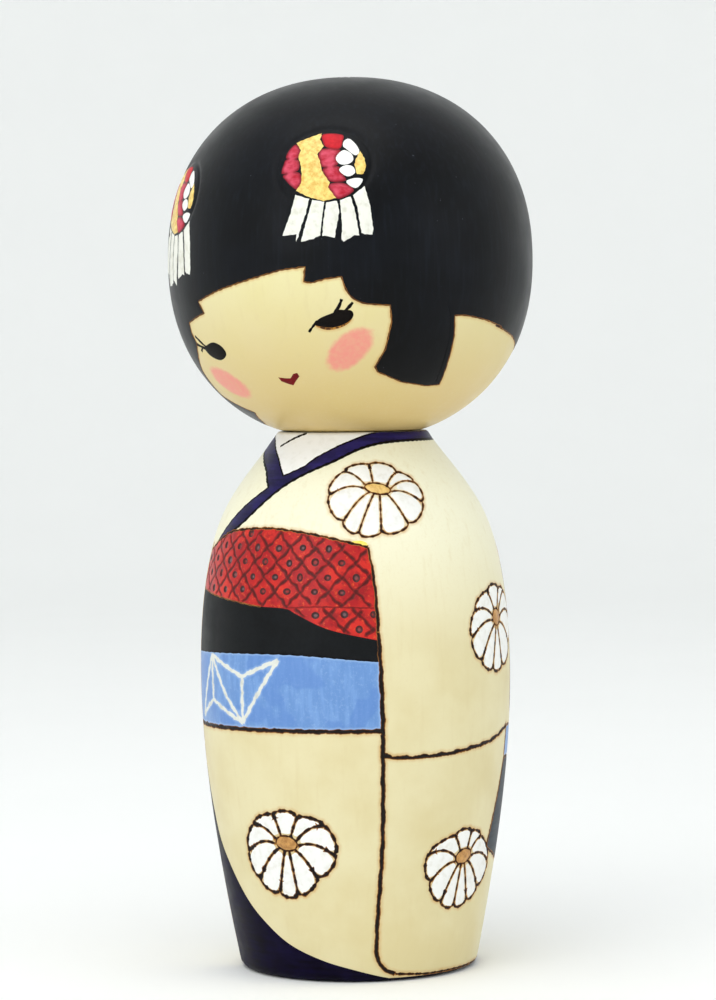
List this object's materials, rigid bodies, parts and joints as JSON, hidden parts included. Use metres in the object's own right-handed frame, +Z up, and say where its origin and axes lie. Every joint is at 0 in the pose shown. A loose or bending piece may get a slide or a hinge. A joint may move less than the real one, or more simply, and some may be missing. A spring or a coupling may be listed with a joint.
{
  "type": "kokeshi doll",
  "caption": "Lathe-turned wooden kokeshi doll with a rounded head that turns on a neck dowel above a barrel body painted as a kimono.",
  "frame": {"origin": "centre of the base, on the plane that the doll stands on", "axes": "+Z up along the lathe axis, -Y out of the doll's front, +X to the doll's left"},
  "size_m": [0.0746, 0.0746, 0.1818],
  "materials": {
    "kimono_painted_wood": "cream stained wood with burnt lines and hand-painted navy, red, black, blue and white areas under a satin clear coat",
    "bare_dowel_wood": "bare smooth dowel wood",
    "head_painted_wood": "black painted hair over cream stained wood with painted features under a gloss clear coat"
  },
  "bodies": {
    "body": {"body": "kimono_painted_wood", "neck_dowel": "bare_dowel_wood"},
    "head": {"head": "head_painted_wood"}
  },
  "joints": [
    {"name": "head_turn", "type": "hinge", "parent": "body", "child": "head", "pos_m": [0, 0, 0.1097], "axis": [0, 0, 1], "continuous": true}
  ]
}
